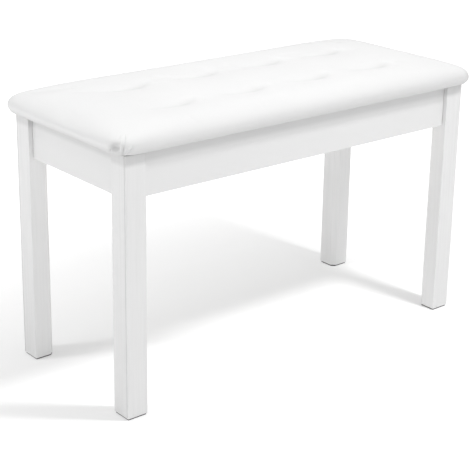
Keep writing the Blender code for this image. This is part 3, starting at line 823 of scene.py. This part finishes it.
def corner_push(point):
    """How far the pleats of the nearest corner move a point of the leather out."""
    side_x, side_y, angle, reach = corner_at(point)
    if not -PLEAT_MARGIN < angle < 90 + PLEAT_MARGIN or reach < PLEAT_START:
        return 0.0
    front_left = side_x < 0 and side_y < 0
    pleats = FRONT_LEFT_PLEATS if front_left else PLAIN_PLEATS
    turned = angle if side_x * side_y > 0 else 90 - angle
    strength = smoothstep(PLEAT_START, PLEAT_START + PLEAT_RAMP, reach)
    return pleat_push(turned, point.z, strength, pleats)


def pull_depth(x, y):
    """How deep the small pulls along the edges are at a point."""
    depth = 0.0
    for at_x, at_y, turn, length, deep in EDGE_PULLS:
        dx = x - at_x
        dy = y - at_y
        if abs(dx) > 2 * length or abs(dy) > 2 * length:
            continue
        along = dx * math.cos(math.radians(turn)) + dy * math.sin(math.radians(turn))
        across = -dx * math.sin(math.radians(turn)) + dy * math.cos(math.radians(turn))
        depth += deep * bell(along, length / 2) * bell(across, PULL_WIDTH)
    return depth


def carve(mesh):
    """The sharp lines that no blowing up makes: the folds' creases, the corners' pleats, the pulls."""
    moves = []
    for vertex in mesh.vertices:
        x, y, z = vertex.co
        out = vertex.normal
        if z - LID_BOTTOM < FLAT_HEM:
            continue
        move = corner_push(vertex.co)
        if out.z > FACING_UP:
            for share, behind in tufts_at(x, y):
                move -= CREASE_DEPTH * fold_strength(share) * bell(behind, CREASE_WIDTH)
        move -= pull_depth(x, y) * smoothstep(0.0, 0.5, out.z)
        if move:
            moves.append((vertex.index, out.copy() * move))
    for index, move in moves:
        mesh.vertices[index].co += move


def close_below(mesh):
    """Close the leather's open middle with one flat face, between the dust cloth and the board."""
    work = bmesh.new()
    work.from_mesh(mesh)
    rim = [edge for edge in work.edges if edge.is_boundary]
    bmesh.ops.holes_fill(work, edges=rim, sides=0)
    work.to_mesh(mesh)
    work.free()


def fold_shade_at(fold):
    """How much painted shade a point gets: a wide band on a tuft's deep right arm, a thin line on its
    left one.
    """
    share, behind = fold
    strength = fold_strength(share)
    return strength**FOLD_SHADE_FADE * bell(behind, FOLD_SHADE_WIDTH * (FOLD_SHADE_THIN + FOLD_SHADE_SPREAD * strength))


def paint_shade_marks(mesh):
    """Store the painted shade of each point, in the tufts' folds, on the lower edge and in the tucks, for
    the leather's colour.
    """
    marks = []
    painted_shade = []
    for vertex in mesh.vertices:
        x, y, z = vertex.co
        upward = vertex.normal.z > FACING_UP
        # Painted shade in the tufts' folds, on the upward-facing top only.
        marks.append(max(map(fold_shade_at, tufts_at(x, y)), default=0.0) if upward else 0.0)
        # Painted shade along the leather's lower edge and in the corners' tucks.
        low_edge_shade = 1 - smoothstep(0.0, EDGE_SHADE_TOP, z - LID_BOTTOM)
        tuck_shade = min(max(-corner_push(vertex.co) / FULL_SHADE_TUCK, 0.0), 1.0)
        painted_shade.append(max(low_edge_shade, tuck_shade))
    mesh.attributes.new("fold_shade", "FLOAT", "POINT").data.foreach_set("value", marks)
    mesh.attributes.new("edge_and_tuck_shade", "FLOAT", "POINT").data.foreach_set("value", painted_shade)


def make_seat():
    """The leather: blown up over its foam, then creased, pleated and given painted shade."""
    points, faces = leather_sheet()
    mesh = mesh_from("seat_leather", points, faces)
    seat = add_piece("seat_leather", mesh, LEATHER, "lid")
    blow_up(seat, held_points(points), PRESSURE, FRAMES, SWELL_CAP)
    smooth = seat.modifiers.new("smooth", "SUBSURF")
    smooth.levels = 1
    smooth.render_levels = 1
    mesh = apply_modifiers(seat)
    refine_corners(mesh)
    carve(mesh)
    close_below(mesh)
    paint_shade_marks(mesh)
    shade_smooth(mesh)
    mesh.update()
    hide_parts("seat_cover", "seat_foam")
    return seat


# Dust cloth, staples and screws ------------------------------------------------------------------------


def make_dust_cloth():
    """The black cloth under the seat board: a thin sheet pulled tight, with a soft wave."""
    half_x = lining_high.x
    half_y = lining_high.y
    middle = (lining_low.z + lining_high.z) / 2
    columns, rows = CLOTH_GRID
    count = (columns + 1) * (rows + 1)
    points = []
    for side in (-1, 1):
        for j in range(rows + 1):
            for i in range(columns + 1):
                x = half_x * (2 * i / columns - 1)
                y = half_y * (2 * j / rows - 1)
                edge = min(half_x - abs(x), half_y - abs(y))
                place = Vector((x * CLOTH_WAVES, y * CLOTH_WAVES, NOISE_SLICE))
                ripple = noise.noise(place) * CLOTH_WAVE
                pull = math.sin((x + y) * 2 * math.pi / STAPLE_PITCH)
                pucker = pull * CLOTH_WAVE * bell(edge, CLOTH_PUCKER_REACH)
                x, y = round_the_corner(x, y, half_x, half_y, CLOTH_CORNER)
                height = middle + side * CLOTH_THICKNESS / 2 + ripple + CLOTH_PUCKER * pucker
                points.append((x, y, height))
    faces = []
    for j in range(rows):
        for i in range(columns):
            a = j * (columns + 1) + i
            b = a + 1
            c = a + columns + 2
            d = a + columns + 1
            faces.append((d, c, b, a))
            faces.append((a + count, b + count, c + count, d + count))
    rim = list(range(columns + 1))
    rim += [j * (columns + 1) + columns for j in range(1, rows + 1)]
    rim += [rows * (columns + 1) + i for i in range(columns - 1, -1, -1)]
    rim += [j * (columns + 1) for j in range(rows - 1, 0, -1)]
    for a, b in zip(rim, rim[1:] + rim[:1]):
        faces.append((a, b, b + count, a + count))
    mesh = mesh_from("lid_dust_cloth", points, faces)
    shade_smooth(mesh)
    cloth = add_piece("lid_dust_cloth", mesh, CLOTH, "lid")
    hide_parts("lid_lining")


def turned_frame(place, facing, turn):
    """A frame at a place whose Z points along facing, turned about it."""
    z = Vector(facing).normalized()
    x = z.orthogonal().normalized()
    x = Matrix.Rotation(turn, 3, z) @ x
    return Matrix.Translation(place) @ Matrix((x, z.cross(x), z)).transposed().to_4x4()


def screw_head(points, faces, place, facing, radius, height, turn):
    """A domed head with a cross recess, added to a mesh's lists."""
    frame_here = turned_frame(place, facing, turn)
    base = len(points)
    for share in HEAD_RINGS:
        for step in range(HEAD_SIDES):
            angle = 2 * math.pi * step / HEAD_SIDES
            x = share * math.cos(angle)
            y = share * math.sin(angle)
            rise = height * (1 - HEAD_DOME * share**HEAD_DOME_POWER)
            if min(abs(x), abs(y)) < CROSS_HALF_WIDTH and max(abs(x), abs(y)) < CROSS_REACH:
                rise -= CROSS_DEPTH * height
            points.append(frame_here @ Vector((x * radius, y * radius, rise)))
    for step in range(HEAD_SIDES):
        angle = 2 * math.pi * step / HEAD_SIDES
        edge = Vector((radius * math.cos(angle), radius * math.sin(angle), -HEAD_SINK))
        points.append(frame_here @ edge)
    points.append(frame_here @ Vector((0, 0, height * (1 - CROSS_DEPTH))))
    middle = len(points) - 1
    for ring in range(len(HEAD_RINGS)):
        for step in range(HEAD_SIDES):
            a = base + ring * HEAD_SIDES + step
            b = base + ring * HEAD_SIDES + (step + 1) % HEAD_SIDES
            faces.append((a, a + HEAD_SIDES, b + HEAD_SIDES, b))
    for step in range(HEAD_SIDES):
        faces.append((middle, base + step, base + (step + 1) % HEAD_SIDES))


def make_screws(name, places, facing, radius, height, body):
    """One piece of screw heads that face the same way, each turned differently."""
    points = []
    faces = []
    for index, place in enumerate(places):
        screw_head(points, faces, place, facing, radius, height, NEXT_TURN * index + FIRST_TURN)
    mesh = mesh_from(name, points, faces)
    shade_smooth(mesh)
    add_piece(name, mesh, STEEL, body)


def staple(points, faces, place, turn):
    """A staple's crown lying under the lid: a flat wire with its two ends turned up."""
    base = len(points)
    along = Vector((math.cos(turn), math.sin(turn), 0))
    across = Vector((-math.sin(turn), math.cos(turn), 0))
    for share, drop in STAPLE_PATH:
        for side, deep in ((-1, 0), (1, 0), (1, 1), (-1, 1)):
            inward = 1 - STAPLE_TAPER * deep
            reach = share * STAPLE_LENGTH * inward
            point = Vector(place) + along * reach + across * (side * STAPLE_WIRE / 2)
            point.z += drop * MM + deep * STAPLE_THICKNESS
            points.append(point)
    for step in range(len(STAPLE_PATH) - 1):
        for side in range(4):
            a = base + step * 4 + side
            b = base + step * 4 + (side + 1) % 4
            faces.append((a, a + 4, b + 4, b))
    faces.append(tuple(base + side for side in range(4)))
    faces.append(tuple(base + (len(STAPLE_PATH) - 1) * 4 + side for side in (3, 2, 1, 0)))


def make_staples(name, inset, z, skip):
    """A row of staples round the lid's underside, set a little crooked by hand."""
    points = []
    faces = []
    half_x = HALF_LENGTH - inset
    half_y = HALF_WIDTH - inset
    straight = CORNER_RADIUS * STAPLE_CORNER
    for axis, half, other in ((0, half_x, half_y), (1, half_y, half_x)):
        run = 2 * half - 2 * straight
        count = int(run / STAPLE_PITCH)
        for side in (-1, 1):
            for step in range(count + 1):
                along = -half + straight + run * step / count
                shake = noise.noise(Vector((along * 31, side * 3.1, inset * 97 + axis)))
                place = [0.0, 0.0, z]
                place[axis] = along + shake * SHAKE_ALONG
                place[1 - axis] = side * (other + shake * SHAKE_ACROSS)
                if not skip(place[0], place[1]):
                    staple(points, faces, place, axis * math.pi / 2 + shake * SHAKE_TURN)
    mesh = mesh_from(name, points, faces)
    add_piece(name, mesh, STEEL, "lid")


def under_a_hinge(x, y):
    """Whether a staple would sit under a hinge's leaf."""
    low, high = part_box("hinge_leaf_moving_right")
    return y > low.y - HINGE_MARGIN and low.x - STAPLE_MARGIN < abs(x) < high.x + STAPLE_MARGIN


def under_a_track(x, y):
    """Whether a staple would sit under a stay's track or on a bumper's place."""
    low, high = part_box("stay_track_right")
    bumper_low, bumper_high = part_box("lid_bumper_front_right")
    across_track = low.x - STAPLE_MARGIN < abs(x) < high.x + STAPLE_MARGIN
    along_track = low.y - STAPLE_MARGIN < y < high.y + STAPLE_MARGIN
    across_bumper = abs(x) > bumper_low.x - STAPLE_MARGIN
    along_bumper = abs(y) > -bumper_high.y - STAPLE_MARGIN
    return (across_track and along_track) or (across_bumper and along_bumper)


def make_hinge_screws(end):
    """The screws of one hinge's two leaves."""
    low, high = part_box(f"hinge_leaf_fixed_{end}")
    centre = (low.x + high.x) / 2
    places = [(centre + dx, FIXED_LEAF_FACE, low.z + rise) for dx, rise in HINGE_SCREWS]
    make_screws(f"hinge_screws_fixed_{end}", places, (0, 1, 0), 3.0 * MM, 1.3 * MM, "frame")
    low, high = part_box(f"hinge_leaf_moving_{end}")
    edge = high.y - MOVING_LEAF_EDGE
    places = [(centre + dx, edge, high.z - HEAD_SEAT) for dx, _ in HINGE_SCREWS]
    make_screws(f"hinge_screws_moving_{end}", places, (0, 0, -1), 3.0 * MM, 1.3 * MM, "lid")


def make_stay_screws(end):
    """The screws of one stay's bracket and track."""
    side = 1 if end == "right" else -1
    low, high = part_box(f"stay_bracket_{end}")
    middle = (low.y + high.y) / 2
    heights = (low.z + BRACKET_LOW, high.z - BRACKET_HIGH)
    places = [(side * BRACKET_FACE, middle, height) for height in heights]
    make_screws(f"stay_screws_fixed_{end}", places, (-side, 0, 0), 2.2 * MM, 1.0 * MM, "frame")
    low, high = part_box(f"stay_track_{end}")
    rows = [low.y + share * (high.y - low.y) for share in TRACK_SHARES]
    places = [(side * TRACK_MIDDLE, row, high.z - HEAD_SEAT) for row in rows]
    make_screws(f"stay_screws_moving_{end}", places, (0, 0, -1), 2.7 * MM, 1.1 * MM, "lid")


def make_cleat_screws(part):
    """The screws that go up into one of the cleats under the compartment's floor."""
    low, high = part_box(f"panel_cleat_{part}")
    middle = (low.y + high.y) / 2
    places = [(share * (high.x - low.x), middle, low.z) for share in CLEAT_SHARES]
    make_screws(f"cleat_screws_{part}", places, (0, 0, -1), 3.2 * MM, 1.2 * MM, "frame")


def make_details():
    """The dust cloth and the small steel parts that the CAD leaves out."""
    make_dust_cloth()
    make_staples("hem_staples", HEM_STAPLE_INSET, LID_BOTTOM, under_a_hinge)
    cloth_bottom = lining_low.z + CLOTH_STAPLE_LIFT
    make_staples("cloth_staples", CLOTH_STAPLE_INSET, cloth_bottom, under_a_track)
    for end in ENDS:
        make_hinge_screws(end)
        make_stay_screws(end)
    for part in ("front", "rear"):
        make_cleat_screws(part)


# Stage -------------------------------------------------------------------------------------------------


def make_camera():
    """The photographer's place: in front and to the left, a little above the seat."""
    heading = math.radians(CAMERA_HEADING)
    dip = math.radians(CAMERA_DIP)
    roll = math.radians(CAMERA_ROLL)
    flat = math.cos(dip)
    forward = Vector((math.sin(heading) * flat, math.cos(heading) * flat, -math.sin(dip)))
    level = Vector((math.cos(heading), -math.sin(heading), 0))
    upright = level.cross(forward)
    right = math.cos(roll) * level + math.sin(roll) * upright
    up = -math.sin(roll) * level + math.cos(roll) * upright
    turn = Matrix((right, up, -forward)).transposed().to_4x4()
    data = bpy.data.cameras.new("camera")
    data.lens = CAMERA_LENS
    data.sensor_width = 36.0
    data.shift_y = CAMERA_SHIFT
    data.clip_start = 0.05
    camera = bpy.data.objects.new("camera", data)
    camera.matrix_world = Matrix.Translation(CAMERA_PLACE) @ turn
    bpy.context.scene.collection.objects.link(camera)
    bpy.context.scene.camera = camera


def make_floor():
    """A pale floor with painted light: it glows more away from the bench and towards the rear."""
    half = FLOOR_HALF
    corners = [(-half, -half, 0), (half, -half, 0), (half, half, 0), (-half, half, 0)]
    mesh = mesh_from("floor", corners, [(0, 1, 2, 3)])
    m = Nodes("floor_white", grey(FLOOR_TONE), 0.8, specular=0.1)
    m.shader.inputs["Emission Color"].default_value = (1.0, 1.0, 1.0, 1.0)
    reach = m.add("ShaderNodeVectorMath", operation="LENGTH")
    m.link(m.add("ShaderNodeTexCoord"), "Object", reach, 0)
    # Painted light: the glow lifts the bench's shadow, more away from the bench and towards the rear.
    glow = m.span(reach, "Value", GLOW_NEAR, GLOW_FAR, GLOW_START, GLOW_END)
    rear = m.span(m.axes(), "Y", 0.0, GLOW_REAR, REAR_START, REAR_END)
    total = m.maths("ADD", glow, "Result")
    m.link(rear, "Result", total, 1)
    m.link(total, "Value", m.shader, "Emission Strength")
    mesh.materials.append(m.material)
    floor = bpy.data.objects.new("floor", mesh)
    bpy.context.scene.collection.objects.link(floor)
    return floor


def make_light(name, place, aim, size, power):
    """A rectangular lamp at a place, turned towards a point."""
    data = bpy.data.lights.new(name, "AREA")
    data.shape = "RECTANGLE"
    data.size = size[0]
    data.size_y = size[1]
    data.energy = power
    light = bpy.data.objects.new(name, data)
    light.location = place
    light.rotation_mode = "QUATERNION"
    light.rotation_quaternion = (Vector(aim) - Vector(place)).to_track_quat("-Z", "Y")
    bpy.context.scene.collection.objects.link(light)
    return light


def link_light(light, piece, state):
    """Let a light reach one piece only (INCLUDE) or all but that piece (EXCLUDE), as a flag does."""
    group = bpy.data.collections.new(f"{light.name}_receivers")
    group.objects.link(piece)
    group.collection_objects[0].light_linking.link_state = state
    light.light_linking.receiver_collection = group


def make_world():
    """A white studio lit from all sides, more from above; pure white where the camera sees past the
    floor.
    """
    world = bpy.data.worlds.new("studio")
    world.use_nodes = True
    tree = world.node_tree
    even = tree.nodes["Background"]
    even.inputs["Color"].default_value = (1.0, 1.0, 1.0, 1.0)
    place = tree.nodes.new("ShaderNodeTexCoord")
    height = tree.nodes.new("ShaderNodeSeparateXYZ")
    dome = tree.nodes.new("ShaderNodeMapRange")
    dome.inputs["To Min"].default_value = SKY_LOW
    dome.inputs["To Max"].default_value = SKY_HIGH
    tree.links.new(place.outputs["Generated"], height.inputs["Vector"])
    tree.links.new(height.outputs["Z"], dome.inputs["Value"])
    tree.links.new(dome.outputs["Result"], even.inputs["Strength"])
    seen = tree.nodes.new("ShaderNodeBackground")
    seen.inputs["Color"].default_value = (1.0, 1.0, 1.0, 1.0)
    seen.inputs["Strength"].default_value = SKY_SEEN
    path = tree.nodes.new("ShaderNodeLightPath")
    mix = tree.nodes.new("ShaderNodeMixShader")
    tree.links.new(path.outputs["Is Camera Ray"], mix.inputs[0])
    tree.links.new(even.outputs[0], mix.inputs[1])
    tree.links.new(seen.outputs[0], mix.inputs[2])
    tree.links.new(mix.outputs[0], tree.nodes["World Output"].inputs["Surface"])
    bpy.context.scene.world = world


def make_lights(pieces):
    """All the lamps, each linked to the piece that it lights or leaves out."""
    for name, place, aim, size, power, piece, state in LIGHTS:
        light = make_light(name, place, aim, size, power)
        if piece:
            link_light(light, pieces[piece], state)


seat = make_seat()
make_details()
bpy.context.scene.view_settings.view_transform = "Standard"
make_camera()
floor = make_floor()
make_world()
make_lights({"seat": seat, "floor": floor})
